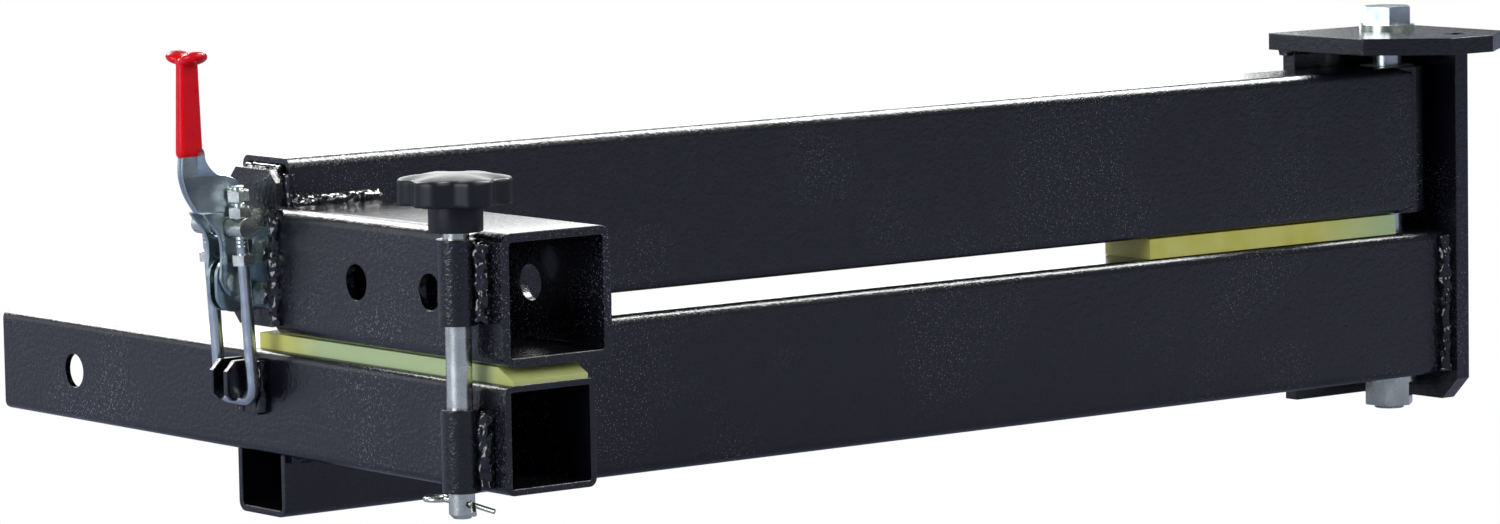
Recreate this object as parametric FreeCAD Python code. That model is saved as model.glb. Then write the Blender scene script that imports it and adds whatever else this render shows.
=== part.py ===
# Swing-away hitch adapter: a shank that slides into a vehicle's hitch receiver
# carries a fixed lower beam, and a second beam swings out on a bolt hinge with a
# receiver tube at its free end, held shut by a pull latch and a knobbed pin.
# X runs along the beams, Y towards the vehicle, Z up, all sizes in millimetres.
import math
import os
import FreeCAD
import Part

V = FreeCAD.Vector

# Shank, the square tube that goes into the vehicle
SHANK_W = 50.0
SHANK_WALL = 3.0
SHANK_R = 4.0
SHANK_NEAR = -186.0
SHANK_FAR = 250.0
HITCH_PIN_D = 17.0
HITCH_PIN_Y = 183.0

# Both beams are the same rectangular tube
BEAM_H = 80.0
BEAM_T = 40.0
BEAM_WALL = 3.0
BEAM_R = 5.0
BEAM_GAP = 11.0
LOWER_X0 = 3.0
ARM_X0 = 10.0
PIVOT_X = 744.0

# Hinge plates and bolt, the plates set out from the pivot: IN is towards the latch
PLATE_T = 9.0
END_PLATE_OUT = 24.0
END_PLATE_NEAR = -9.0
END_PLATE_BOT = -94.0
END_PLATE_CUT = 12.0
BACK_PLATE_IN = 49.5
BACK_PLATE_BOT = -91.5
BACK_GAP = 1.0
TOP_GAP = 10.5
TOP_IN = 60.0
TOP_NEAR = -57.0
TOP_SHOULDER_Y = -24.0
TOP_NOSE_IN = 26.0
TOP_NOSE_OUT = 5.0
TOP_RIGHT_Y = -36.0
STAY_HOLE_D = 13.0
STAY_HOLE_Y = -34.0
BOLT_D = 16.0
BOLT_AF = 24.0
BOLT_HEAD_H = 10.0
BOLT_HOLE_CLEAR = 0.5
NUT_H = 13.0
BOLT_TAIL = 2.0
HEX_CHAMFER = 1.2
BOLT_TURN = 52.0
NUT_TURN = 22.0
WASHER_D = 30.0
WASHER_T = 3.0
RUN_CLEAR = 0.05
PIVOT_SLEEVE_D = 30.0
PIVOT_TUBE_R = 19.5
PIVOT_BUSH_D = 30.0

# Wear pads
FRONT_PAD_X0 = 4.0
FRONT_PAD_T = 7.6
FRONT_PAD_LIP = 2.2
FRONT_PAD_RAMP = 11.0
FRONT_PAD_FAR = 20.0
HINGE_PAD_L = 179.0
HINGE_PAD_IN = 11.5
HINGE_PAD_T = 10.6
HINGE_PAD_EDGE = 2.0

# Receiver tube on the arm
REC_W = 61.0
REC_WALL = 4.2
REC_R = 6.0
REC_NEAR = -185.0
REC_LIFT = 0.3
REC_PIN_D = 17.0
REC_PIN_YS = (-68.6, -128.0)

# Locking pin with its two sleeves, knob and cotter
PIN_D = 12.0
PIN_Y = -163.0
PIN_BELOW = 12.0
PIN_TIP = 2.0
SLEEVE_D = 18.0
SLEEVE_CLEAR = 0.35
UP_SLEEVE_H = 39.0
UP_SLEEVE_DROP = 2.9
LOW_SLEEVE_H = 38.0
LOW_SLEEVE_LIFT = 1.0
HUB_D = 25.0
HUB_H = 12.6
KNOB_D = 50.0
KNOB_H = 14.0
KNOB_LOBES = 6
KNOB_SCALLOP_R = 11.0
KNOB_SCALLOP_IN = 4.5
KNOB_EDGE = 3.0
KNOB_TURN = 30.0
KNOB_SEAT = 0.5
COTTER_BELOW = 5.0
COTTER_WIRE = 2.4
COTTER_HOLE = 3.6
COTTER_EYE_R = 5.5
COTTER_NECK = 8.0
COTTER_LEG = 11.0
COTTER_SPREAD = 32.0

# Latch: base, handle, hook and keeper, all centred on one plane
LATCH_Y = 20.0
LATCH_PLATE_T = 8.0
LATCH_PLATE_Z1 = 86.0
LATCH_PLATE_CUT = 6.0
BASE_T = 2.2
BASE_WALL_IN = 2.0
FLANGE_W = 17.0
FLANGE_Z0 = 20.5
FLANGE_Z1 = 58.5
BASE_RIM = 22.0
BASE_Z0 = 19.0
BASE_Z1 = 45.0
BASE_R = 9.0
BASE_BOLT_D = 6.0
BASE_BOLT_AF = 10.0
BASE_BOLT_H = 4.0
BASE_BOLT_TURN = 30.0
BASE_BOLT_OUT = 12.5
BASE_BOLT_ZS = (27.5, 47.5)
RIVET_D = 6.0
RIVET_X = -14.0
RIVET_Z = 33.5
RIVET_HEAD_D = 9.5
RIVET_HEAD_T = 1.2
RIVET_HEAD_GAP = 0.3
HANDLE_T = 2.2
HANDLE_SIDE_GAP = 0.5
HANDLE_BOSS_R = 7.0
# The cranked handle's side outline as X and Z: outer edge up, neck, inner edge down
HANDLE_OUTER = ((-21.0, 40.0), (-20.5, 47.0), (-22.2, 56.0), (-32.5, 65.2), (-42.3, 79.4), (-45.0, 92.0))
HANDLE_NECK = ((-41.0, 97.0), (-36.0, 97.0), (-31.6, 95.0))
HANDLE_INNER = ((-23.7, 85.0), (-16.6, 84.0), (-11.8, 81.8), (-8.2, 78.3), (-6.5, 70.0), (-6.8, 45.0))
TRUNNION_D = 10.0
TRUNNION_X = -14.5
TRUNNION_Z = 59.7
TRUNNION_OVER = 7.0
GRIP_Z0 = 93.0
GRIP_Z1 = 143.0
GRIP_X = -37.0
GRIP_LOW = (13.0, 15.0)
GRIP_TOP = (9.5, 13.0)
GRIP_EDGE = 2.5
GRIP_WALL = 2.4
GRIP_EAR_R = 3.6
GRIP_EAR_OUT = 8.0
GRIP_EAR_RISE = 7.0
TANG_T = 3.0
TANG_W = 9.0
HOOK_D = 6.0
HOOK_HALF = 14.25
HOOK_BAR_X = -9.5
HOOK_BAR_Z = -23.0
HOOK_BEND = 8.0
HOOK_OVER = 20.0
HOOK_NUT_AF = 10.0
HOOK_NUT_H = 5.0
HOOK_NUT_AT = (5.2, 13.0, -17.5)
HOOK_FIT = 0.15
KEEPER_T = 3.0
KEEPER_HALF = 7.5
KEEPER_OUT = 20.0
KEEPER_TOP = -4.0
KEEPER_LIP = -23.0
KEEPER_ROOT = -31.0
KEEPER_NOSE_R = 5.0
KEEPER_SLOT_FRONT = 5.5
KEEPER_SLOT_BACK = 4.5
KEEPER_SEAT = 0.5

# Places that follow from the sizes above
BEAM_MID = BEAM_T / 2
ARM_Z0 = BEAM_GAP
ARM_Z1 = ARM_Z0 + BEAM_H
TOP_Z0 = ARM_Z1 + TOP_GAP
TOP_Z1 = TOP_Z0 + PLATE_T
BACK_Y0 = BEAM_T + BACK_GAP
BACK_Y1 = BACK_Y0 + PLATE_T
END_PLATE_X = PIVOT_X + END_PLATE_OUT
END_PLATE_X1 = END_PLATE_X + PLATE_T
BACK_PLATE_X0 = PIVOT_X - BACK_PLATE_IN
TOP_X0 = PIVOT_X - TOP_IN
TOP_NOSE_X0 = PIVOT_X - TOP_NOSE_IN
TOP_NOSE_X1 = PIVOT_X + TOP_NOSE_OUT
HINGE_PAD_X1 = PIVOT_X - HINGE_PAD_IN
HINGE_PAD_X0 = HINGE_PAD_X1 - HINGE_PAD_L
REC_Z0 = FRONT_PAD_T + REC_LIFT
REC_MID_Z = REC_Z0 + REC_W / 2
PIN_X = -SLEEVE_D / 2
UP_SLEEVE_Z1 = REC_Z0 + REC_W - UP_SLEEVE_DROP
UP_SLEEVE_Z0 = UP_SLEEVE_Z1 - UP_SLEEVE_H
LOW_SLEEVE_Z0 = LOW_SLEEVE_LIFT - SHANK_W
LOW_SLEEVE_Z1 = LOW_SLEEVE_Z0 + LOW_SLEEVE_H
PIN_BOT = LOW_SLEEVE_Z0 - PIN_BELOW
COTTER_Z = LOW_SLEEVE_Z0 - COTTER_BELOW
LATCH_FACE = ARM_X0 - LATCH_PLATE_T
KNOB_Z0 = REC_Z0 + REC_W + KNOB_SEAT + HUB_H
PIN_TOP = KNOB_Z0 + KNOB_H / 2
# The part is placed with the middle of the hitch pin hole at the origin
ORIGIN = V(SHANK_W / 2, HITCH_PIN_Y, -SHANK_W / 2)


def box(x0, x1, y0, y1, z0, z1):
    return Part.makeBox(x1 - x0, y1 - y0, z1 - z0, V(x0, y0, z0))


def rod(radius, length, base, direction):
    return Part.makeCylinder(radius, length, base, direction)


def round_along(shape, axis, radius):
    # Rounds the edges of a box that run along one axis
    edges = []
    for edge in shape.Edges:
        run = edge.Vertexes[1].Point - edge.Vertexes[0].Point
        if abs(run.normalize().dot(axis)) > math.cos(math.radians(1)):
            edges.append(edge)
    return shape.makeFillet(radius, edges)


def tube(outer, axis, wall, radius, grow):
    # Square or rectangular tube with rounded corners, open at both ends
    b = outer.BoundBox
    gx = 0 if abs(axis.x) else wall
    gy = 0 if abs(axis.y) else wall
    gz = 0 if abs(axis.z) else wall
    inner = box(b.XMin + gx, b.XMax - gx, b.YMin + gy, b.YMax - gy, b.ZMin + gz, b.ZMax - gz)
    inner = round_along(inner, axis, grow)
    return round_along(outer, axis, radius).cut(inner)


def prism(points, direction):
    # Straight extrusion of a closed outline
    wire = Part.makePolygon([V(*p) for p in points] + [V(*points[0])])
    return Part.Face(wire).extrude(direction)


def hexagon(across, height, base, direction, turn):
    # Hexagon with its corners taken off at the outer end
    radius = across / math.sqrt(3)
    points = []
    for i in range(6):
        a = math.radians(turn + 60 * i)
        points.append(V(radius * math.cos(a), radius * math.sin(a), 0))
    body = Part.Face(Part.makePolygon(points + [points[0]])).extrude(V(0, 0, height))
    cone_r = radius + height * 2 - HEX_CHAMFER / 2
    cone = Part.makeCone(cone_r + HEX_CHAMFER, radius - HEX_CHAMFER / 2, height * 2 + HEX_CHAMFER,
                         V(0, 0, -height - HEX_CHAMFER))
    body = body.common(cone)
    turn_to = FreeCAD.Rotation(V(0, 0, 1), direction)
    body.Placement = FreeCAD.Placement(base, turn_to)
    return body


def collar(outer_d, inner_d, x, y, z0, z1):
    # Plain ring or sleeve standing on Z
    body = rod(outer_d / 2, z1 - z0, V(x, y, z0), V(0, 0, 1))
    return body.cut(rod(inner_d / 2, z1 - z0, V(x, y, z0), V(0, 0, 1)))


UP = V(0, 0, 1)
ALONG = V(1, 0, 0)
BACK = V(0, 1, 0)
BOLT_HOLE = BOLT_D + 2 * BOLT_HOLE_CLEAR
RUN_BORE = BOLT_D + 2 * RUN_CLEAR
nodes = {}

# Shank with the cross hole for the vehicle's hitch pin
shank = tube(box(0, SHANK_W, SHANK_NEAR, SHANK_FAR, -SHANK_W, 0), BACK, SHANK_WALL, SHANK_R,
             SHANK_R - SHANK_WALL)
hitch_hole = rod(HITCH_PIN_D / 2, 2 * SHANK_W, V(-SHANK_W / 2, HITCH_PIN_Y, -SHANK_W / 2), ALONG)
nodes["hitch_shank"] = shank.cut(hitch_hole)

# Lower beam, its left end saddled over the shank and its right end bored for the pivot
lower = tube(box(LOWER_X0, END_PLATE_X, 0, BEAM_T, -BEAM_H, 0), ALONG, BEAM_WALL, BEAM_R,
             BEAM_R - BEAM_WALL)
lower = lower.cut(box(0, SHANK_W, -BEAM_T, 2 * BEAM_T, -SHANK_W, BEAM_H))
lower = lower.cut(rod(PIVOT_SLEEVE_D / 2, 2 * BEAM_H, V(PIVOT_X, BEAM_MID, -1.5 * BEAM_H), UP))
nodes["lower_beam"] = lower
nodes["lower_pivot_sleeve"] = collar(PIVOT_SLEEVE_D, BOLT_HOLE, PIVOT_X, BEAM_MID, -BEAM_H, 0)

# Hinge cheek plates: end, back and top, welded to each other and to the lower beam
end_side = [
    (END_PLATE_X, END_PLATE_NEAR, TOP_Z0),
    (END_PLATE_X, BACK_Y1, TOP_Z0),
    (END_PLATE_X, BACK_Y1, END_PLATE_BOT),
    (END_PLATE_X, END_PLATE_NEAR + END_PLATE_CUT, END_PLATE_BOT),
    (END_PLATE_X, END_PLATE_NEAR, END_PLATE_BOT + END_PLATE_CUT),
]
nodes["hinge_end_plate"] = prism(end_side, V(PLATE_T, 0, 0))
nodes["hinge_back_plate"] = box(BACK_PLATE_X0, END_PLATE_X, BACK_Y0, BACK_Y1, BACK_PLATE_BOT, TOP_Z0)
top_outline = [
    (TOP_X0, BACK_Y1, TOP_Z0),
    (TOP_X0, TOP_SHOULDER_Y, TOP_Z0),
    (TOP_NOSE_X0, TOP_NEAR, TOP_Z0),
    (TOP_NOSE_X1, TOP_NEAR, TOP_Z0),
    (END_PLATE_X1, TOP_RIGHT_Y, TOP_Z0),
    (END_PLATE_X1, BACK_Y1, TOP_Z0),
]
top = prism(top_outline, V(0, 0, PLATE_T))
top = top.cut(rod(BOLT_HOLE / 2, 3 * PLATE_T, V(PIVOT_X, BEAM_MID, TOP_Z0 - PLATE_T), UP))
top = top.cut(rod(STAY_HOLE_D / 2, 3 * PLATE_T, V(PIVOT_X, STAY_HOLE_Y, TOP_Z0 - PLATE_T), UP))
nodes["hinge_top_plate"] = top

# Pivot bolt, its washers and its nut
bolt_head_z = TOP_Z1 + WASHER_T
nut_top = -BEAM_H - WASHER_T
bolt_bottom = nut_top - NUT_H - BOLT_TAIL
bolt = hexagon(BOLT_AF, BOLT_HEAD_H, V(PIVOT_X, BEAM_MID, bolt_head_z), UP, BOLT_TURN)
bolt = bolt.fuse(rod(BOLT_D / 2, bolt_head_z - bolt_bottom, V(PIVOT_X, BEAM_MID, bolt_bottom), UP))
nodes["pivot_bolt"] = bolt.removeSplitter()
washers = [
    collar(WASHER_D, BOLT_HOLE, PIVOT_X, BEAM_MID, TOP_Z1, bolt_head_z),
    collar(WASHER_D, BOLT_HOLE, PIVOT_X, BEAM_MID, nut_top, -BEAM_H),
]
nodes["pivot_washers"] = Part.Compound(washers)
nut = hexagon(BOLT_AF, NUT_H, V(PIVOT_X, BEAM_MID, nut_top), V(0, 0, -1), NUT_TURN)
nodes["pivot_nut"] = nut.cut(rod(BOLT_D / 2, 3 * NUT_H, V(PIVOT_X, BEAM_MID, nut_top - 2 * NUT_H), UP))

# Front wear pad under the receiver, with a ramp at its mouth
pad_side = [
    (FRONT_PAD_X0, SHANK_NEAR, 0),
    (FRONT_PAD_X0, FRONT_PAD_FAR, 0),
    (FRONT_PAD_X0, FRONT_PAD_FAR, FRONT_PAD_T),
    (FRONT_PAD_X0, SHANK_NEAR + FRONT_PAD_RAMP, FRONT_PAD_T),
    (FRONT_PAD_X0, SHANK_NEAR, FRONT_PAD_LIP),
]
nodes["front_pad"] = prism(pad_side, V(SHANK_W - 2 * FRONT_PAD_X0, 0, 0))

# Hinge wear pad between the two beams, a plain bar with square ends
nodes["hinge_pad"] = box(HINGE_PAD_X0, HINGE_PAD_X1, HINGE_PAD_EDGE, BEAM_T - HINGE_PAD_EDGE, 0, HINGE_PAD_T)

# Swinging beam, coped round the pivot tube
pivot_tube = rod(PIVOT_TUBE_R, BEAM_H, V(PIVOT_X, BEAM_MID, ARM_Z0), UP)
arm = tube(box(ARM_X0, PIVOT_X, 0, BEAM_T, ARM_Z0, ARM_Z1), ALONG, BEAM_WALL, BEAM_R,
           BEAM_R - BEAM_WALL)
nodes["swing_beam"] = arm.cut(pivot_tube)
nodes["arm_pivot_tube"] = pivot_tube.cut(rod(PIVOT_BUSH_D / 2, BEAM_H, V(PIVOT_X, BEAM_MID, ARM_Z0), UP))
nodes["arm_bush"] = collar(PIVOT_BUSH_D, RUN_BORE, PIVOT_X, BEAM_MID, ARM_Z0, ARM_Z1)

# Receiver tube with two pairs of pin holes
rec = tube(box(0, REC_W, REC_NEAR, 0, REC_Z0, REC_Z0 + REC_W), BACK, REC_WALL, REC_R, REC_R - REC_WALL)
for y in REC_PIN_YS:
    rec = rec.cut(rod(REC_PIN_D / 2, 2 * REC_W, V(-REC_W / 2, y, REC_MID_Z), ALONG))
nodes["receiver_tube"] = rec

# Plate that closes the arm's free end and carries the latch
c = LATCH_PLATE_CUT
plate_side = [
    (LATCH_FACE, c, ARM_Z0),
    (LATCH_FACE, BEAM_T - c, ARM_Z0),
    (LATCH_FACE, BEAM_T, ARM_Z0 + c),
    (LATCH_FACE, BEAM_T, LATCH_PLATE_Z1 - c),
    (LATCH_FACE, BEAM_T - c, LATCH_PLATE_Z1),
    (LATCH_FACE, c, LATCH_PLATE_Z1),
    (LATCH_FACE, 0, LATCH_PLATE_Z1 - c),
    (LATCH_FACE, 0, ARM_Z0 + c),
]
nodes["latch_plate"] = prism(plate_side, V(LATCH_PLATE_T, 0, 0))

# Locking pin sleeves, one on the receiver and one on the shank
sleeve_bore = PIN_D + 2 * SLEEVE_CLEAR
nodes["upper_pin_sleeve"] = collar(SLEEVE_D, sleeve_bore, PIN_X, PIN_Y, UP_SLEEVE_Z0, UP_SLEEVE_Z1)
nodes["lower_pin_sleeve"] = collar(SLEEVE_D, sleeve_bore, PIN_X, PIN_Y, LOW_SLEEVE_Z0, LOW_SLEEVE_Z1)

# Locking pin with a tapered tip and a cross hole for the cotter
pin = rod(PIN_D / 2, PIN_TOP - PIN_BOT - PIN_TIP, V(PIN_X, PIN_Y, PIN_BOT + PIN_TIP), UP)
tip = Part.makeCone(PIN_D / 2 - PIN_TIP, PIN_D / 2, PIN_TIP, V(PIN_X, PIN_Y, PIN_BOT), UP)
pin = pin.fuse(tip).removeSplitter()
pin = pin.cut(rod(COTTER_HOLE / 2, 2 * PIN_D, V(PIN_X, PIN_Y - PIN_D, COTTER_Z), BACK))
nodes["locking_pin"] = pin

# Lobed knob on a round hub, moulded over the top of the pin
disc = rod(KNOB_D / 2, KNOB_H, V(PIN_X, PIN_Y, KNOB_Z0), UP)
for i in range(KNOB_LOBES):
    a = math.radians(KNOB_TURN + 360 * i / KNOB_LOBES)
    reach = KNOB_D / 2 + KNOB_SCALLOP_R - KNOB_SCALLOP_IN
    at = V(PIN_X + reach * math.cos(a), PIN_Y + reach * math.sin(a), KNOB_Z0 - KNOB_H)
    disc = disc.cut(rod(KNOB_SCALLOP_R, 3 * KNOB_H, at, UP))
rim = [e for e in disc.Edges if e.BoundBox.ZMin > KNOB_Z0 + KNOB_H - KNOB_EDGE / 2]
disc = disc.makeFillet(KNOB_EDGE, rim)
hub = rod(HUB_D / 2, HUB_H, V(PIN_X, PIN_Y, KNOB_Z0 - HUB_H), UP)
knob = disc.fuse(hub).removeSplitter()
socket = rod(PIN_D / 2, PIN_TOP - KNOB_Z0 + 2 * HUB_H, V(PIN_X, PIN_Y, KNOB_Z0 - 2 * HUB_H), UP)
nodes["pin_knob"] = knob.cut(socket)

# Split cotter under the lower sleeve: an eye behind the pin, legs spread in front
eye_y = PIN_Y + PIN_D / 2 + COTTER_NECK + COTTER_EYE_R
eye = Part.makeTorus(COTTER_EYE_R, COTTER_WIRE / 2, V(PIN_X, eye_y, COTTER_Z), UP)
legs_y = PIN_Y - PIN_D / 2 - COTTER_WIRE
neck_y = eye_y - COTTER_EYE_R
cotter = eye.fuse(rod(COTTER_WIRE / 2, neck_y - legs_y, V(PIN_X, legs_y, COTTER_Z), BACK))
cotter = cotter.fuse(Part.makeSphere(COTTER_WIRE / 2, V(PIN_X, legs_y, COTTER_Z)))
for side in (-1, 1):
    a = math.radians(COTTER_SPREAD) * side
    way = V(math.sin(a), -math.cos(a), -math.sin(abs(a)) / 2)
    cotter = cotter.fuse(rod(COTTER_WIRE / 2, COTTER_LEG, V(PIN_X, legs_y, COTTER_Z), way))
nodes["cotter"] = cotter

# Latch base: two folded brackets, each a flange on the plate and a standing wall
base_parts = []
for side in (-1, 1):
    inner = LATCH_Y + side * BASE_WALL_IN
    outer = inner + side * BASE_T
    edge = inner + side * FLANGE_W
    flange = box(LATCH_FACE - BASE_T, LATCH_FACE, min(inner, edge), max(inner, edge), FLANGE_Z0, FLANGE_Z1)
    for z in BASE_BOLT_ZS:
        at = V(LATCH_FACE - 2 * BASE_T, LATCH_Y + side * BASE_BOLT_OUT, z)
        flange = flange.cut(rod(BASE_BOLT_D / 2, 3 * BASE_T, at, ALONG))
    wall = box(-BASE_RIM, LATCH_FACE, min(inner, outer), max(inner, outer), BASE_Z0, BASE_Z1)
    rim = [e for e in wall.Edges if e.BoundBox.XMax < -BASE_RIM / 2 and e.BoundBox.YLength > BASE_T / 2]
    wall = wall.makeFillet(BASE_R, rim)
    wall = wall.fuse(flange).removeSplitter()
    base_parts.append(wall.cut(rod(RIVET_D / 2, 2 * BEAM_T, V(RIVET_X, LATCH_Y - BEAM_T, RIVET_Z), BACK)))
nodes["latch_base"] = Part.Compound(base_parts)

# Four hexagon bolts hold the base to the plate
bolts = []
for side in (-1, 1):
    for z in BASE_BOLT_ZS:
        at = V(LATCH_FACE - BASE_T, LATCH_Y + side * BASE_BOLT_OUT, z)
        head = hexagon(BASE_BOLT_AF, BASE_BOLT_H, at, V(-1, 0, 0), BASE_BOLT_TURN)
        bolts.append(head.fuse(rod(BASE_BOLT_D / 2, BASE_T, at, ALONG)).removeSplitter())
nodes["latch_base_bolts"] = Part.Compound(bolts)

# Rivet through the base walls and the handle, headed on both sides
handle_in = BASE_WALL_IN + BASE_T + HANDLE_SIDE_GAP
handle_out = handle_in + HANDLE_T
head_at = handle_out + RIVET_HEAD_GAP
rivet = rod(RIVET_D / 2, 2 * head_at, V(RIVET_X, LATCH_Y - head_at, RIVET_Z), BACK)
for side in (-1, 1):
    at = V(RIVET_X, LATCH_Y + side * head_at, RIVET_Z)
    rivet = rivet.fuse(rod(RIVET_HEAD_D / 2, RIVET_HEAD_T, at, V(0, side, 0)))
nodes["latch_rivet"] = rivet.removeSplitter()

# Handle: two cranked side plates joined by a spine along the outer edge
crank_out = list(HANDLE_OUTER)
rivet_side = [(RIVET_X + HANDLE_BOSS_R, RIVET_Z), (RIVET_X - HANDLE_BOSS_R, RIVET_Z)]
outline = crank_out + list(HANDLE_NECK) + list(HANDLE_INNER) + rivet_side
plate = prism([(x, LATCH_Y - handle_out, z) for x, z in outline], V(0, 2 * handle_out, 0))
boss = rod(HANDLE_BOSS_R, 2 * handle_out, V(RIVET_X, LATCH_Y - handle_out, RIVET_Z), BACK)
handle = plate.fuse(boss).removeSplitter()
inside_out = [(x + HANDLE_T, z) for x, z in crank_out[3:]]
floor_z = crank_out[0][1] - BEAM_T
inside = [(inside_out[0][0] - BEAM_T, floor_z), (-BASE_RIM - BEAM_T, crank_out[2][1])]
inside = inside + [(crank_out[2][0] + HANDLE_T, crank_out[2][1])] + inside_out
inside = inside + [(x, z + BEAM_H) for x, z in (inside_out[-1], (BEAM_T, inside_out[-1][1]))]
inside = inside + [(BEAM_T, floor_z)]
hollow = prism([(x, LATCH_Y - handle_in, z) for x, z in inside], V(0, 2 * handle_in, 0))
handle = handle.cut(hollow)
tang = box(GRIP_X - TANG_T / 2, GRIP_X + TANG_T / 2, LATCH_Y - TANG_W / 2, LATCH_Y + TANG_W / 2,
           crank_out[4][1], GRIP_Z1 - GRIP_EAR_R - 2 * GRIP_EAR_RISE)
tang = tang.fuse(box(crank_out[4][0] + HANDLE_T / 2, GRIP_X + TANG_T / 2, LATCH_Y - TANG_W / 2,
                     LATCH_Y + TANG_W / 2, crank_out[4][1], crank_out[5][1]))
handle = handle.fuse(tang).removeSplitter()
run = 2 * RUN_CLEAR
handle = handle.cut(rod((RIVET_D + run) / 2, 2 * BEAM_T, V(RIVET_X, LATCH_Y - BEAM_T, RIVET_Z), BACK))
eye = rod((TRUNNION_D + run) / 2, 2 * BEAM_T, V(TRUNNION_X, LATCH_Y - BEAM_T, TRUNNION_Z), BACK)
handle = handle.cut(eye)
handle = handle.cut(box(GRIP_X - BEAM_T, GRIP_X - TANG_T / 2, 0, BEAM_T, GRIP_Z0 + GRIP_WALL, GRIP_Z1))
handle = handle.cut(box(GRIP_X + TANG_T / 2, GRIP_X + BEAM_T, 0, BEAM_T, GRIP_Z0 + GRIP_WALL, GRIP_Z1))
nodes["latch_handle"] = handle

# Dipped grip: a tapering sleeve over the tang with two small ears at its end


def grip_wire(size, z):
    solid = box(GRIP_X - size[0] / 2, GRIP_X + size[0] / 2, LATCH_Y - size[1] / 2, LATCH_Y + size[1] / 2,
                z, z + GRIP_EDGE)
    solid = round_along(solid, UP, GRIP_EDGE)
    return min(solid.Faces, key=lambda f: f.CenterOfMass.z).OuterWire


grip_top = GRIP_Z1 - GRIP_EAR_R - GRIP_EAR_RISE / 2
grip = Part.makeLoft([grip_wire(GRIP_LOW, GRIP_Z0), grip_wire(GRIP_TOP, grip_top)], True)
for side in (-1, 1):
    way = V(0, side * GRIP_EAR_OUT, GRIP_EAR_RISE)
    root = V(GRIP_X, LATCH_Y, GRIP_Z1 - GRIP_EAR_R - GRIP_EAR_RISE)
    grip = grip.fuse(rod(GRIP_EAR_R, way.Length, root, way))
    grip = grip.fuse(Part.makeSphere(GRIP_EAR_R, root + way))
nodes["handle_grip"] = grip.cut(handle)

# Hook: a bent U-bolt whose legs pass through a round trunnion
drop = V(HOOK_BAR_X - TRUNNION_X, 0, HOOK_BAR_Z - TRUNNION_Z)
reach = drop.Length
down = V(drop).normalize()
near_y = LATCH_Y - HOOK_HALF
far_y = LATCH_Y + HOOK_HALF
pivot = V(TRUNNION_X, 0, TRUNNION_Z)


def on_hook(y, along):
    return V(pivot.x + down.x * along, y, pivot.z + down.z * along)


turn_in = HOOK_BEND * (1 - math.cos(math.radians(45)))
line_near = Part.LineSegment(on_hook(near_y, -HOOK_OVER), on_hook(near_y, reach - HOOK_BEND))
bend_near = Part.Arc(on_hook(near_y, reach - HOOK_BEND), on_hook(near_y + turn_in, reach - turn_in),
                     on_hook(near_y + HOOK_BEND, reach))
line_bar = Part.LineSegment(on_hook(near_y + HOOK_BEND, reach), on_hook(far_y - HOOK_BEND, reach))
bend_far = Part.Arc(on_hook(far_y - HOOK_BEND, reach), on_hook(far_y - turn_in, reach - turn_in),
                    on_hook(far_y, reach - HOOK_BEND))
line_far = Part.LineSegment(on_hook(far_y, reach - HOOK_BEND), on_hook(far_y, -HOOK_OVER))
path = Part.Wire([s.toShape() for s in (line_near, bend_near, line_bar, bend_far, line_far)])
ring = Part.Wire(Part.makeCircle(HOOK_D / 2, on_hook(near_y, -HOOK_OVER), down))
nodes["hook_u_bolt"] = path.makePipeShell([ring], True, False)
trunnion_end = HOOK_HALF + TRUNNION_OVER
trunnion = rod(TRUNNION_D / 2, 2 * trunnion_end, V(TRUNNION_X, LATCH_Y - trunnion_end, TRUNNION_Z), BACK)
nuts = []
for y in (near_y, far_y):
    trunnion = trunnion.cut(rod(HOOK_D / 2 + HOOK_FIT, 2 * TRUNNION_D, on_hook(y, -TRUNNION_D), down))
    for at in HOOK_NUT_AT:
        nut = hexagon(HOOK_NUT_AF, HOOK_NUT_H, on_hook(y, -at), V(0, 0, 0) - down, 0)
        nuts.append(nut.cut(rod(HOOK_D / 2, 3 * HOOK_NUT_H, on_hook(y, -at + HOOK_NUT_H), V(0, 0, 0) - down)))
nodes["hook_trunnion"] = trunnion
nodes["hook_nuts"] = Part.Compound(nuts)

# Keeper on the shank: two hooked ears on a web, notched from below for the hook's bar
slot_top = HOOK_BAR_Z + HOOK_D / 2 + KEEPER_SEAT
ear_side = [
    (0, KEEPER_TOP),
    (-KEEPER_OUT + KEEPER_NOSE_R, KEEPER_TOP),
    (-KEEPER_OUT, KEEPER_TOP - KEEPER_NOSE_R),
    (-KEEPER_OUT, KEEPER_LIP + KEEPER_T),
    (-KEEPER_OUT + KEEPER_T, KEEPER_LIP),
    (HOOK_BAR_X - KEEPER_SLOT_FRONT, KEEPER_LIP),
    (HOOK_BAR_X - KEEPER_SLOT_FRONT + KEEPER_T, slot_top),
    (HOOK_BAR_X + KEEPER_SLOT_BACK - KEEPER_T / 2, slot_top),
    (HOOK_BAR_X + KEEPER_SLOT_BACK, KEEPER_LIP),
    (-KEEPER_T, KEEPER_ROOT),
    (0, KEEPER_ROOT),
]
keeper = box(-KEEPER_T, 0, LATCH_Y - KEEPER_HALF, LATCH_Y + KEEPER_HALF, KEEPER_ROOT, KEEPER_TOP)
for y in (LATCH_Y - KEEPER_HALF, LATCH_Y + KEEPER_HALF - KEEPER_T):
    keeper = keeper.fuse(prism([(x, y, z) for x, z in ear_side], V(0, KEEPER_T, 0)))
nodes["latch_keeper"] = keeper.removeSplitter()

os.makedirs("parts", exist_ok=True)
for name, shape in nodes.items():
    shape.translate(V(0, 0, 0) - ORIGIN)
    shape.exportStep("parts/" + name + ".step")
    b = shape.BoundBox
    print(name, len(shape.Solids), shape.isValid(), round(shape.Volume),
          [round(v, 1) for v in (b.XMin, b.XMax, b.YMin, b.YMax, b.ZMin, b.ZMax)])
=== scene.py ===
import bpy
import math
from mathutils import Matrix, Vector


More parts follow.
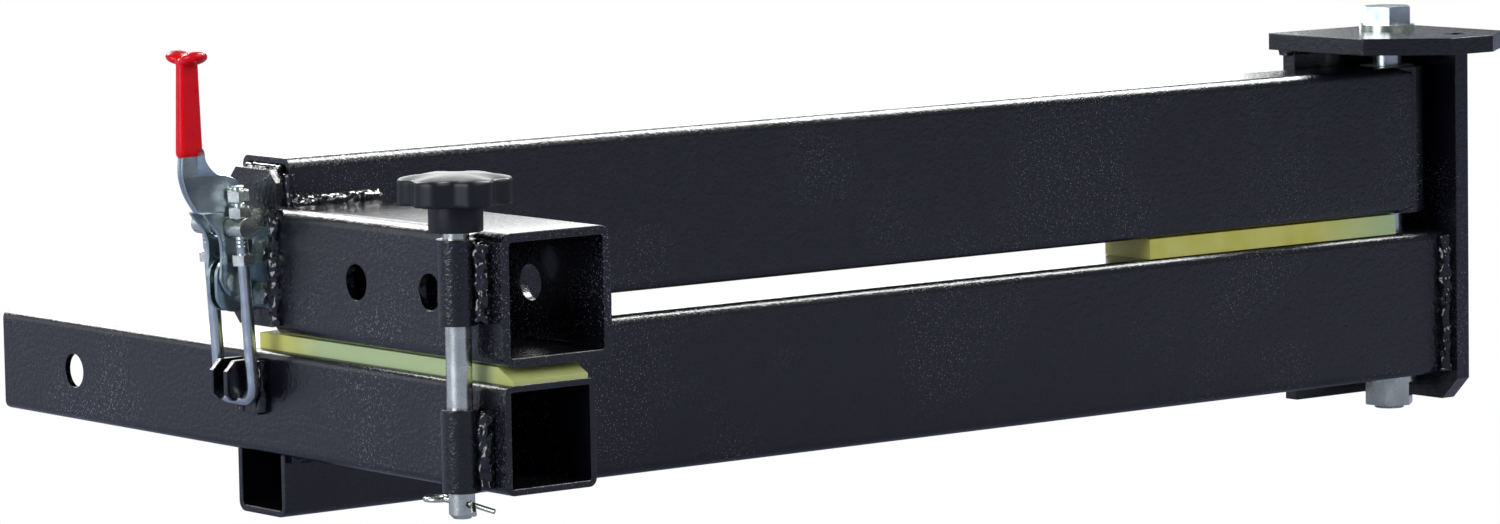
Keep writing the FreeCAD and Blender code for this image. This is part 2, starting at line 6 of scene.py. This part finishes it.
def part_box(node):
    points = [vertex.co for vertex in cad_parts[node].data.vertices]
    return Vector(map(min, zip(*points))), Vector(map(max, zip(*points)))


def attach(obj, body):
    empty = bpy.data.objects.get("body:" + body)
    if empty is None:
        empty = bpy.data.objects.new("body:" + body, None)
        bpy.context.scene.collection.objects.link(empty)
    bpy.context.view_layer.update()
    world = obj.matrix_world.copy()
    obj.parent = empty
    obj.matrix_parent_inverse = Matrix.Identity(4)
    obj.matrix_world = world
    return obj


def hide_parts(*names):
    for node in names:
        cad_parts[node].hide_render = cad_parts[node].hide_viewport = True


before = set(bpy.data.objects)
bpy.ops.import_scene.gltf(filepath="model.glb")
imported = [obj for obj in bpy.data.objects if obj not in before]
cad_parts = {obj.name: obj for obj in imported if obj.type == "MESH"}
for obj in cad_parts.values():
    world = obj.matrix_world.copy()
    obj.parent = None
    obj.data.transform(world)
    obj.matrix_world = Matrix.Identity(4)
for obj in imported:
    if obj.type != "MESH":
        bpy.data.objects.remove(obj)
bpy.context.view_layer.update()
bpy.ops.object.select_all(action="DESELECT")


# Gloss black powder coat on all welded steel: orange-peel bumps, a few bright specks painted into the
# colour as glints, slightly rounded edges that catch the light, and a slow change of gloss.
class Value:
    # A shader value: one output socket, with arithmetic that adds nodes to its tree
    def __init__(self, tree, socket):
        self.tree = tree
        self.socket = socket

    def node(self, kind, inputs, output, **props):
        made = self.tree.nodes.new(kind)
        for key, value in props.items():
            setattr(made, key, value)
        for key, value in inputs.items():
            if isinstance(value, Value):
                self.tree.links.new(value.socket, made.inputs[key])
            else:
                made.inputs[key].default_value = value
        return Value(self.tree, made.outputs[output])

    def math(self, operation, other):
        return self.node("ShaderNodeMath", {0: self, 1: other}, 0, operation=operation)

    def __add__(self, other):
        return self.math("ADD", other)

    def __sub__(self, other):
        return self.math("SUBTRACT", other)

    def __mul__(self, other):
        return self.math("MULTIPLY", other)

    def ramp(self, low, high):
        return self.node("ShaderNodeMapRange", {"Value": self, "From Min": low, "From Max": high}, 0)

    def noise(self, scale, detail):
        return self.node("ShaderNodeTexNoise", {"Vector": self, "Scale": scale, "Detail": detail}, 0)

    def mix(self, first, second):
        return self.node("ShaderNodeMix", {"Factor": self, 6: first, 7: second}, 2, data_type="RGBA")

    def bump(self, height, strength, distance, normal=None):
        inputs = {"Height": height, "Strength": strength, "Distance": distance}
        if normal:
            inputs["Normal"] = normal
        return self.node("ShaderNodeBump", inputs, 0)

    def axis(self, name):
        return self.node("ShaderNodeSeparateXYZ", {0: self}, name)


def new_material(name):
    # A material, its shader, and the place of each point on the piece
    material = bpy.data.materials.new(name)
    material.use_nodes = True
    tree = material.node_tree
    place = Value(tree, tree.nodes.new("ShaderNodeTexCoord").outputs["Object"])
    return material, tree.nodes["Principled BSDF"], place


def feed(shader, place, inputs):
    # Links shader values and sets plain ones
    for key, value in inputs.items():
        if isinstance(value, Value):
            place.tree.links.new(value.socket, shader.inputs[key])
        else:
            shader.inputs[key].default_value = value


def dress(material, names):
    # Gives CAD nodes a material
    for name in names:
        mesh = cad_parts[name].data
        mesh.materials.clear()
        mesh.materials.append(material)


coat, coat_shader, coat_place = new_material("black_powder_coat")
coat_peel = coat_place.noise(430.0, 2.0)
coat_fine = coat_place.noise(1150.0, 1.0)
coat_drift = coat_place.noise(9.0, 3.0)
# Painted glints: bright grey specks in the base colour, spread in random patches, that stand in for the
# coat's sparkle of light
coat_glint_patch = coat_place.noise(13.0, 2.0).ramp(0.47, 0.62)
coat_painted_glint_specks = coat_place.noise(1300.0, 0.0).ramp(0.71, 0.76)
coat_painted_glints = coat_painted_glint_specks * (coat_glint_patch * 0.7 + 0.04)
coat_tone_and_glints = coat_painted_glints.mix((0.0034, 0.0034, 0.0068, 1), (0.28, 0.28, 0.34, 1))
coat_edge = coat_place.node("ShaderNodeBevel", {"Radius": 0.0011}, 0, samples=6)
coat_normal = coat_place.bump(coat_peel + coat_fine * 0.4, 0.45, 0.0008, coat_edge)
feed(coat_shader, coat_place, {
    "Base Color": coat_tone_and_glints,
    "Roughness": coat_drift * 0.12 + 0.17,
    "Normal": coat_normal,
    "Coat Weight": 0.25,
    "Coat Roughness": 0.08,
})
dress(coat, ("hitch_shank", "lower_beam", "hinge_end_plate", "hinge_back_plate", "hinge_top_plate",
             "swing_beam", "arm_pivot_tube", "receiver_tube", "latch_plate", "upper_pin_sleeve",
             "lower_pin_sleeve", "latch_keeper", "lower_pivot_sleeve"))


# Weld beads, coated over with the steel they join. Each is a rod laid in its corner
# and pushed into lumps, given as its middle, direction, length and radius.
weld, weld_shader, weld_place = new_material("weld_coat")
weld_drift = weld_place.noise(160.0, 2.0)
feed(weld_shader, weld_place, {
    "Base Color": weld_drift.mix((0.003, 0.003, 0.006, 1), (0.006, 0.006, 0.010, 1)),
    "Roughness": weld_drift * 0.12 + 0.1,
    "Coat Weight": 0.4,
    "Coat Roughness": 0.06,
})
WELD_GRID = 0.0008
LUMP_SIZE = 0.0046
LUMP_HEIGHT = 0.8
LUMP_LEVEL = 0.6


def weld_beads(name, body, rows):
    # Makes one piece of a body's beads. A lump's height is a share of its bead's radius
    beads = []
    for middle, way, length, radius in rows:
        bpy.ops.mesh.primitive_cylinder_add(vertices=16, radius=radius, depth=length)
        bead = bpy.context.object
        turned = Vector(way).to_track_quat("Z", "Y").to_matrix().to_4x4()
        bead.matrix_world = Matrix.Translation(middle) @ turned
        bpy.ops.object.transform_apply(location=True, rotation=True, scale=True)
        grid = bead.modifiers.new("grid", "REMESH")
        grid.mode = "VOXEL"
        grid.voxel_size = WELD_GRID
        bpy.ops.object.modifier_apply(modifier="grid")
        lumps = bpy.data.textures.new("weld_lumps", "CLOUDS")
        lumps.noise_scale = LUMP_SIZE
        push = bead.modifiers.new("lumps", "DISPLACE")
        push.texture = lumps
        push.strength = radius * LUMP_HEIGHT
        push.mid_level = LUMP_LEVEL
        bpy.ops.object.modifier_apply(modifier="lumps")
        bpy.ops.object.shade_smooth()
        beads.append(bead)
        bpy.ops.object.select_all(action="DESELECT")
    for bead in beads:
        bead.select_set(True)
    bpy.context.view_layer.objects.active = beads[0]
    bpy.ops.object.join()
    welds = bpy.context.object
    welds.name = name
    welds.data.materials.append(weld)
    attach(welds, body)
    bpy.ops.object.select_all(action="DESELECT")


UP = (0, 0, 1)
ALONG = (1, 0, 0)
BACK = (0, 1, 0)
# On the frame: sleeve to shank, keeper to shank, beam to shank, beam and back plate to hinge
weld_beads("frame_weld_beads", "fixed_frame", (
    ((-0.0272, -0.3560, -0.0050), UP, 0.034, 0.0046),
    ((-0.0280, -0.3370, -0.0050), UP, 0.034, 0.0040),
    ((-0.0262, -0.1722, 0.0075), UP, 0.025, 0.0030),
    ((-0.0262, -0.1538, 0.0075), UP, 0.025, 0.0030),
    ((0.0265, -0.1842, 0.0000), UP, 0.046, 0.0036),
    ((0.0020, -0.1842, -0.0260), ALONG, 0.044, 0.0032),
    ((0.7418, -0.1846, -0.0150), UP, 0.076, 0.0044),
    ((0.6688, -0.1370, 0.1258), BACK, 0.009, 0.0034),
    ((0.7060, -0.1418, 0.1258), ALONG, 0.070, 0.0026),
))
# On the arm: sleeve to receiver, receiver to latch plate and beam, plate to beam
weld_beads("arm_weld_beads", "swing_arm", (
    ((-0.0272, -0.3560, 0.0715), UP, 0.036, 0.0046),
    ((-0.0280, -0.3370, 0.0715), UP, 0.036, 0.0040),
    ((-0.0246, -0.1842, 0.0650), UP, 0.056, 0.0044),
    ((0.0090, -0.1852, 0.0950), ALONG, 0.052, 0.0040),
    ((0.0366, -0.1842, 0.0635), UP, 0.052, 0.0036),
    ((-0.0158, -0.1630, 0.1112), BACK, 0.030, 0.0018),
    ((-0.0156, -0.1836, 0.1010), UP, 0.016, 0.0030),
))

# Wear pads: cloudy plastic, yellow where it is thick, with a greener painted shade at the hinge pad's far
# end, under the pivot tube, and along the front pad's side, under the receiver, weaker towards the front
# pad's tip.
pad, pad_shader, pad_place = new_material("wear_pad_plastic")
PAD_SPLIT_X = 0.3
pad_is_hinge = pad_place.axis("X").ramp(PAD_SPLIT_X, PAD_SPLIT_X + 0.001)
# Painted shade: a green tint mixed into the yellow where the pivot tube and the receiver shade the pads
pad_hinge_painted_shade = pad_place.axis("X").ramp(0.645, 0.705)
pad_shade_tip_fade = pad_place.axis("Y").ramp(-0.362, -0.330) * 0.5 + 0.5
pad_front_painted_shade = pad_place.axis("Y").ramp(-0.180, -0.215) * pad_shade_tip_fade
pad_cloud = pad_place.noise(60.0, 3.0).ramp(0.3, 0.7)
pad_yellow = pad_cloud.mix((0.66, 0.62, 0.10, 1), (0.76, 0.73, 0.20, 1))
pad_hinge_tone_and_shade = (pad_hinge_painted_shade * 0.85).mix(pad_yellow, (0.44, 0.62, 0.36, 1))
pad_front_tone_and_shade = (pad_front_painted_shade * 0.85).mix(pad_yellow, (0.44, 0.58, 0.32, 1))
pad_tone_and_shade = pad_is_hinge.mix(pad_front_tone_and_shade, pad_hinge_tone_and_shade)
feed(pad_shader, pad_place, {
    "Base Color": pad_tone_and_shade,
    "Roughness": pad_cloud * 0.1 + 0.34,
    "Normal": pad_place.bump(pad_place.noise(700.0, 2.0), 0.08, 0.0003),
    "Subsurface Weight": 0.3,
    "Subsurface Radius": (0.006, 0.006, 0.003),
    "Subsurface Scale": 1.0,
})
dress(pad, ("front_pad", "hinge_pad"))

# Hinge bush: off-white plastic, seen only at its ends.
bush, bush_shader, bush_place = new_material("hinge_bush_plastic")
bush_cloud = bush_place.noise(80.0, 3.0)
feed(bush_shader, bush_place, {
    "Base Color": bush_cloud.mix((0.60, 0.59, 0.54, 1), (0.70, 0.69, 0.64, 1)),
    "Roughness": bush_cloud * 0.1 + 0.4,
})
dress(bush, ("arm_bush",))

# Zinc-plated fasteners and pin: grey metal with faint plating clouds and a fine grain.
zinc, zinc_shader, zinc_place = new_material("zinc_fasteners")
zinc_cloud = zinc_place.noise(140.0, 4.0).ramp(0.3, 0.7)
feed(zinc_shader, zinc_place, {
    "Base Color": zinc_cloud.mix((0.57, 0.61, 0.54, 1), (0.75, 0.79, 0.71, 1)),
    "Roughness": zinc_cloud * 0.12 + 0.2,
    "Normal": zinc_place.bump(zinc_place.noise(1800.0, 2.0), 0.14, 0.0003),
    "Metallic": 1.0,
})
dress(zinc, ("pivot_washers", "pivot_nut", "locking_pin", "cotter", "latch_base_bolts", "hook_nuts",
             "hook_trunnion", "latch_rivet"))

# Pivot bolt and hook: the same plating, with a thread drawn as fine rings at the
# bolt's tail and along the hook's legs where its nuts run.
thread, thread_shader, thread_place = new_material("zinc_threads")
thread_x = thread_place.axis("X")
thread_z = thread_place.axis("Z")
thread_rings = thread_place.node("ShaderNodeTexWave", {"Vector": thread_place, "Scale": 160.0}, 1,
                                 wave_type="BANDS", bands_direction="Z")
thread_hook = thread_z.ramp(0.074, 0.078) * thread_z.ramp(0.1378, 0.1362) * thread_x.ramp(0.4, 0.3)
thread_bolt = thread_z.ramp(-0.070, -0.074) * thread_x.ramp(0.3, 0.4)
thread_cloud = thread_place.noise(140.0, 4.0).ramp(0.3, 0.7)
feed(thread_shader, thread_place, {
    "Base Color": thread_cloud.mix((0.48, 0.55, 0.56, 1), (0.66, 0.72, 0.73, 1)),
    "Roughness": thread_cloud * 0.1 + 0.19,
    "Normal": thread_place.bump((thread_hook + thread_bolt) * thread_rings, 0.6, 0.0006),
    "Metallic": 1.0,
})
dress(thread, ("pivot_bolt", "hook_u_bolt"))

# Latch base and handle: stamped zinc sheet with a blue passivation, smoother and
# cooler than the bolts.
sheet, sheet_shader, sheet_place = new_material("zinc_stampings")
sheet_cloud = sheet_place.noise(70.0, 4.0).ramp(0.3, 0.7)
feed(sheet_shader, sheet_place, {
    "Base Color": sheet_cloud.mix((0.36, 0.45, 0.48, 1), (0.52, 0.60, 0.63, 1)),
    "Roughness": sheet_cloud * 0.1 + 0.22,
    "Normal": sheet_place.bump(sheet_place.noise(900.0, 2.0), 0.1, 0.0003),
    "Metallic": 1.0,
})
dress(sheet, ("latch_base", "latch_handle"))

# The handle is two side plates cut to one S-shaped outline. They lie together in the
# grip and spread apart below a crease, to run each side of the latch base.
LATCH_Y = -0.163
PLATE_T = 0.0022
PLATE_ROUND = 0.0004
PLATE_APART = 0.0058
PLATE_CLOSE = 0.0013
CREASE_X = (-0.0550, -0.0440)
SMOOTH_ANGLE = math.radians(28)
plate_outline = (
    (-0.0460, 0.0650), (-0.0455, 0.0720), (-0.0470, 0.0812), (-0.0540, 0.0902), (-0.0620, 0.1040),
    (-0.0632, 0.1160), (-0.0610, 0.1230), (-0.0550, 0.1230), (-0.0526, 0.1160), (-0.0474, 0.1106),
    (-0.0416, 0.1092), (-0.0362, 0.1066), (-0.0325, 0.1015), (-0.0315, 0.0920), (-0.0317, 0.0720),
    (-0.0320, 0.0585), (-0.0390, 0.0515), (-0.0460, 0.0585))
plate_holes = ((-0.0395, 0.0847, 0.0055), (-0.0390, 0.0585, 0.0033))


def add_loop(sketch, points):
    # One smooth closed line of the sketch
    line = sketch.splines.new("BEZIER")
    line.bezier_points.add(len(points) - 1)
    line.use_cyclic_u = True
    for knot, (x, y) in zip(line.bezier_points, points):
        knot.co = (x, y, 0)
        knot.handle_left_type = "AUTO"
        knot.handle_right_type = "AUTO"


def pick(piece, kind, test):
    # Selects the vertices, edges or faces that pass a test, and stays in edit mode
    bpy.ops.object.mode_set(mode="EDIT")
    bpy.ops.mesh.select_mode(type=kind)
    bpy.ops.mesh.select_all(action="DESELECT")
    bpy.ops.object.mode_set(mode="OBJECT")
    mesh = piece.data
    for element in {"VERT": mesh.vertices, "EDGE": mesh.edges, "FACE": mesh.polygons}[kind]:
        element.select = test(element)
    bpy.ops.object.mode_set(mode="EDIT")


plates = []
for side in (-1, 1):
    sketch = bpy.data.curves.new("handle_side", "CURVE")
    sketch.dimensions = "2D"
    sketch.fill_mode = "BOTH"
    sketch.extrude = PLATE_T / 2 - PLATE_ROUND
    sketch.bevel_depth = PLATE_ROUND
    sketch.bevel_resolution = 2
    sketch.offset = -PLATE_ROUND
    add_loop(sketch, plate_outline)
    for x, z, radius in plate_holes:
        turns = [math.radians(45 * step) for step in range(8)]
        add_loop(sketch, [(x + radius * math.cos(a), z + radius * math.sin(a)) for a in turns])
    plate = bpy.data.objects.new("handle_plate", sketch)
    bpy.context.scene.collection.objects.link(plate)
    plate.select_set(True)
    bpy.context.view_layer.objects.active = plate
    bpy.ops.object.convert(target="MESH")
    plate = bpy.context.object
    plate.rotation_euler = (math.radians(90), 0, 0)
    plate.location = (0, LATCH_Y + side * PLATE_APART, 0)
    bpy.ops.object.transform_apply(location=True, rotation=True, scale=True)
    bpy.ops.object.mode_set(mode="EDIT")
    bpy.ops.mesh.select_all(action="SELECT")
    bpy.ops.mesh.remove_doubles(threshold=0.00001)
    for x in CREASE_X:
        bpy.ops.mesh.select_all(action="SELECT")
        bpy.ops.mesh.bisect(plane_co=(x, 0, 0), plane_no=(1, 0, 0))
    pick(plate, "VERT", lambda vertex: vertex.co.x < CREASE_X[0] + PLATE_ROUND / 4)
    bpy.ops.transform.translate(value=(0, side * (PLATE_CLOSE - PLATE_APART), 0))
    bpy.ops.mesh.select_all(action="SELECT")
    bpy.ops.mesh.normals_make_consistent(inside=False)
    bpy.ops.object.mode_set(mode="OBJECT")
    bpy.ops.object.shade_smooth_by_angle(angle=SMOOTH_ANGLE)
    plates.append(plate)
    bpy.ops.object.select_all(action="DESELECT")
for plate in plates:
    plate.select_set(True)
bpy.context.view_layer.objects.active = plates[0]
bpy.ops.object.join()
handle = bpy.context.object
handle.name = "handle_plates"
handle.data.materials.clear()
handle.data.materials.append(sheet)
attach(handle, "latch_lever")
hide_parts("latch_handle")
bpy.ops.object.select_all(action="DESELECT")

# Grip: red vinyl that both plates were dipped in together. A flat tapering sleeve,
# with the plates' bent-out ends as two soft ears at its top.
grip, grip_shader, grip_place = new_material("red_vinyl")
grip_cloud = grip_place.noise(90.0, 2.0)
feed(grip_shader, grip_place, {
    "Base Color": grip_cloud.mix((0.80, 0.0006, 0.006, 1), (0.92, 0.002, 0.012, 1)),
    "Roughness": grip_cloud * 0.1 + 0.24,
    "Specular IOR Level": 0.3,
    "Normal": grip_place.bump(grip_place.noise(260.0, 2.0), 0.1, 0.0006),
})
GRIP_X = -0.0580
GRIP_LOW = 0.1180
GRIP_HIGH = 0.1655
GRIP_SIZE = (0.0134, 0.0066)
GRIP_ROUND = 0.0024
GRIP_TAPER = (0.80, 0.88, 1.0)
EAR_SIZE = (0.0140, 0.0128, 0.0066)
EAR_OUT = 0.0062
EAR_TILT = 14
SKIN_GRID = 0.0006
SKIN_PASSES = 16
bpy.ops.mesh.primitive_cube_add(size=1, location=(GRIP_X, LATCH_Y, (GRIP_LOW + GRIP_HIGH) / 2),
                                scale=GRIP_SIZE + (GRIP_HIGH - GRIP_LOW,))
sleeve = bpy.context.object
bpy.ops.object.transform_apply(location=True, rotation=True, scale=True)
pick(sleeve, "VERT", lambda vertex: vertex.co.z > GRIP_HIGH - PLATE_T)
bpy.ops.transform.resize(value=GRIP_TAPER, center_override=(GRIP_X, LATCH_Y, GRIP_HIGH))
bpy.ops.object.mode_set(mode="OBJECT")
corners = sleeve.modifiers.new("corners", "BEVEL")
corners.width = GRIP_ROUND
corners.segments = 4
bpy.ops.object.modifier_apply(modifier="corners")
bpy.ops.object.select_all(action="DESELECT")
dipped = [sleeve]
for side in (-1, 1):
    bpy.ops.mesh.primitive_uv_sphere_add(
        segments=24, ring_count=12, radius=0.5, location=(GRIP_X, LATCH_Y + side * EAR_OUT, GRIP_HIGH),
        rotation=(math.radians(side * EAR_TILT), 0, 0), scale=EAR_SIZE)
    bpy.ops.object.transform_apply(location=True, rotation=True, scale=True)
    dipped.append(bpy.context.object)
for piece in dipped:
    piece.select_set(True)
bpy.context.view_layer.objects.active = sleeve
bpy.ops.object.join()
sleeve.name = "grip_skin"
skin = sleeve.modifiers.new("skin", "REMESH")
skin.mode = "VOXEL"
skin.voxel_size = SKIN_GRID
bpy.ops.object.modifier_apply(modifier="skin")
soften = sleeve.modifiers.new("soften", "SMOOTH")
soften.factor = 0.5
soften.iterations = SKIN_PASSES
bpy.ops.object.modifier_apply(modifier="soften")
bpy.ops.object.shade_smooth()
sleeve.data.materials.clear()
sleeve.data.materials.append(grip)
dress(grip, ("handle_grip",))
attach(sleeve, "latch_lever")
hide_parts("handle_grip")
bpy.ops.object.select_all(action="DESELECT")

# Knob: moulded black plastic, six soft lobes with a low dome, on a round hub that
# is moulded over the top of the pin.
knob, knob_shader, knob_place = new_material("knob_plastic")
knob_cloud = knob_place.noise(120.0, 3.0)
feed(knob_shader, knob_place, {
    "Base Color": knob_cloud.mix((0.005, 0.006, 0.008, 1), (0.010, 0.012, 0.015, 1)),
    "Roughness": knob_cloud * 0.12 + 0.32,
    "Specular IOR Level": 0.35,
    "Normal": knob_place.bump(knob_place.noise(1300.0, 1.0), 0.06, 0.0003),
})
knob_low, knob_high = [Vector(corner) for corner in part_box("pin_knob")]
knob_mid = (knob_low + knob_high) / 2
LOBES = 6
LOBE_R = 0.0264
LOBE_TURN = math.radians(22)
VALLEY = 0.74
DISC_H = 0.0118
DOME_IN = 0.0085
DOME_UP = 0.0024
HUB_R = 0.0125
HUB_EDGE = 0.0008
UNDER_CREASE = 0.75
TOP_CREASE = 0.45
disc_low = knob_high.z - DISC_H - DOME_UP
disc_half = disc_low + DISC_H / 2
dome_half = disc_low + DISC_H + DOME_UP / 2


def in_valley(vertex):
    # Of the four corners to a lobe, the one between it and the next
    turn = math.atan2(vertex.co.y - knob_mid.y, vertex.co.x - knob_mid.x) - LOBE_TURN
    return round(turn / math.radians(90 / LOBES)) % 4 == 2


def edge_heights(edge):
    # The heights of an edge's two ends
    return [disc.data.vertices[index].co.z for index in edge.vertices]


bpy.ops.mesh.primitive_cylinder_add(vertices=4 * LOBES, radius=LOBE_R, depth=DISC_H,
                                    location=(knob_mid.x, knob_mid.y, disc_half),
                                    rotation=(0, 0, LOBE_TURN))
disc = bpy.context.object
bpy.ops.object.transform_apply(location=True, rotation=True, scale=True)
pick(disc, "VERT", in_valley)
bpy.ops.transform.resize(value=(VALLEY, VALLEY, 1), center_override=knob_mid)
pick(disc, "FACE", lambda face: face.normal.z > 0.9)
bpy.ops.mesh.inset(thickness=DOME_IN)
bpy.ops.transform.translate(value=(0, 0, DOME_UP))
pick(disc, "EDGE", lambda edge: max(edge_heights(edge)) < disc_half)
bpy.ops.transform.edge_crease(value=UNDER_CREASE)
pick(disc, "EDGE", lambda edge: disc_half < min(edge_heights(edge)) and max(edge_heights(edge)) < dome_half)
bpy.ops.transform.edge_crease(value=TOP_CREASE)
bpy.ops.object.mode_set(mode="OBJECT")
rounding = disc.modifiers.new("rounding", "SUBSURF")
rounding.levels = 4
rounding.render_levels = 4
bpy.ops.object.modifier_apply(modifier="rounding")
bpy.ops.object.shade_smooth()
bpy.ops.object.select_all(action="DESELECT")
hub_high = disc_low + DISC_H / 3
bpy.ops.mesh.primitive_cylinder_add(vertices=64, radius=HUB_R, depth=hub_high - knob_low.z,
                                    location=(knob_mid.x, knob_mid.y, (hub_high + knob_low.z) / 2))
hub = bpy.context.object
bpy.ops.object.transform_apply(location=True, rotation=True, scale=True)
rim = hub.modifiers.new("rim", "BEVEL")
rim.width = HUB_EDGE
rim.segments = 3
rim.limit_method = "ANGLE"
rim.angle_limit = math.radians(60)
bpy.ops.object.modifier_apply(modifier="rim")
bpy.ops.object.shade_smooth_by_angle(angle=SMOOTH_ANGLE)
disc.select_set(True)
bpy.context.view_layer.objects.active = disc
bpy.ops.object.join()
disc.name = "lobed_knob"
disc.data.materials.clear()
disc.data.materials.append(knob)
dress(knob, ("pin_knob",))
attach(disc, "locking_pin")
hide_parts("pin_knob")
bpy.ops.object.select_all(action="DESELECT")

# Round faces are shaded smooth and flat ones stay flat on every node.
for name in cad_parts:
    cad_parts[name].select_set(True)
    bpy.context.view_layer.objects.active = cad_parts[name]
    bpy.ops.object.shade_smooth_by_angle(angle=SMOOTH_ANGLE)
    bpy.ops.object.select_all(action="DESELECT")

# Floor just under the hinge nut: white where the camera sees it, a cool pale grey
# where the gloss coat mirrors it.
FLOOR_SIZE = 14.0
FLOOR_Z = -0.076
bpy.ops.mesh.primitive_plane_add(size=FLOOR_SIZE, location=(0.3, 0.0, FLOOR_Z))
floor = bpy.context.object
floor.name = "floor"
paper = bpy.data.materials.new("floor_paper")
paper.use_nodes = True
paper_tree = paper.node_tree
paper_shader = paper_tree.nodes["Principled BSDF"]
paper_shader.inputs["Base Color"].default_value = (0.48, 0.50, 0.70, 1)
paper_shader.inputs["Roughness"].default_value = 0.9
paper_glow = paper_tree.nodes.new("ShaderNodeEmission")
paper_glow.inputs["Color"].default_value = (1, 1, 1, 1)
paper_path = paper_tree.nodes.new("ShaderNodeLightPath")
paper_mix = paper_tree.nodes.new("ShaderNodeMixShader")
paper_tree.links.new(paper_path.outputs["Is Camera Ray"], paper_mix.inputs["Fac"])
paper_tree.links.new(paper_shader.outputs[0], paper_mix.inputs[1])
paper_tree.links.new(paper_glow.outputs[0], paper_mix.inputs[2])
paper_tree.links.new(paper_mix.outputs[0], paper_tree.nodes["Material Output"].inputs["Surface"])
floor.data.materials.append(paper)

# White studio room: white to the camera, dimmer as a light and in reflections.
world = bpy.data.worlds.new("studio")
bpy.context.scene.world = world
world.use_nodes = True
world_tree = world.node_tree
world_back = world_tree.nodes["Background"]
world_back.inputs["Color"].default_value = (0.82, 0.90, 1.0, 1)
world_back.inputs["Strength"].default_value = 0.22
world_white = world_tree.nodes.new("ShaderNodeBackground")
world_white.inputs["Color"].default_value = (1, 1, 1, 1)
world_path = world_tree.nodes.new("ShaderNodeLightPath")
world_mix = world_tree.nodes.new("ShaderNodeMixShader")
world_tree.links.new(world_path.outputs["Is Camera Ray"], world_mix.inputs["Fac"])
world_tree.links.new(world_back.outputs[0], world_mix.inputs[1])
world_tree.links.new(world_white.outputs[0], world_mix.inputs[2])
world_tree.links.new(world_mix.outputs[0], world_tree.nodes["World Output"].inputs["Surface"])

# Soft boxes: one behind and to the right, where the top faces mirror it, two on the
# left for the side faces, one in front, and two above that draw the tubes' edges and
# show in reflections only.
for name, place, aim, size, power, tint, lights_matt in (
    ("back_box", (1.75, 2.6, 0.9), (0.3, -0.2, 0.05), 2.2, 48.0, (1.0, 1.0, 1.0), True),
    ("left_box", (-2.6, -0.4, 0.9), (0.0, -0.2, 0.0), 1.6, 44.0, (0.95, 0.98, 1.0), True),
    ("left_panel", (-1.7, 2.0, 0.35), (0.0, -0.2, 0.05), 1.6, 7.0, (0.90, 0.95, 1.0), True),
    ("front_box", (0.9, -2.8, 1.9), (0.4, -0.2, 0.0), 1.8, 34.0, (1.0, 1.0, 1.0), True),
    ("edge_box", (2.1, -0.3, 2.4), (0.3, -0.2, 0.0), 1.8, 190.0, (1.0, 1.0, 1.0), False),
    ("left_edge_box", (-0.1, 2.1, 1.9), (0.0, -0.2, 0.0), 1.2, 70.0, (1.0, 1.0, 1.0), False),
):
    lamp = bpy.data.lights.new(name, "AREA")
    lamp.shape = "SQUARE"
    lamp.size = size
    lamp.energy = power
    lamp.color = tint
    holder = bpy.data.objects.new(name, lamp)
    bpy.context.scene.collection.objects.link(holder)
    holder.location = place
    holder.visible_diffuse = lights_matt
    holder.rotation_mode = "QUATERNION"
    holder.rotation_quaternion = (Vector(aim) - Vector(place)).to_track_quat("-Z", "Y")

# Camera: a long lens from the front left, a little above and rolled by one degree.
# The lens isn't shifted, so that other views can turn it round the object.
eye = bpy.data.cameras.new("camera")
eye.sensor_width = 36.0
eye.lens = 146.50
camera = bpy.data.objects.new("camera", eye)
bpy.context.scene.collection.objects.link(camera)
right = Vector((0.789286, -0.613780, -0.017359))
up = Vector((0.078922, 0.073373, 0.994177))
away = Vector((-0.608933, -0.786060, 0.106353))
turn = Matrix((right, up, away)).transposed().to_4x4()
camera.matrix_world = Matrix.Translation((-1.60341, -2.58760, 0.37056)) @ turn
eye.clip_start = 0.05
eye.clip_end = 60.0
bpy.context.scene.camera = camera
bpy.context.scene.view_settings.view_transform = "Standard"
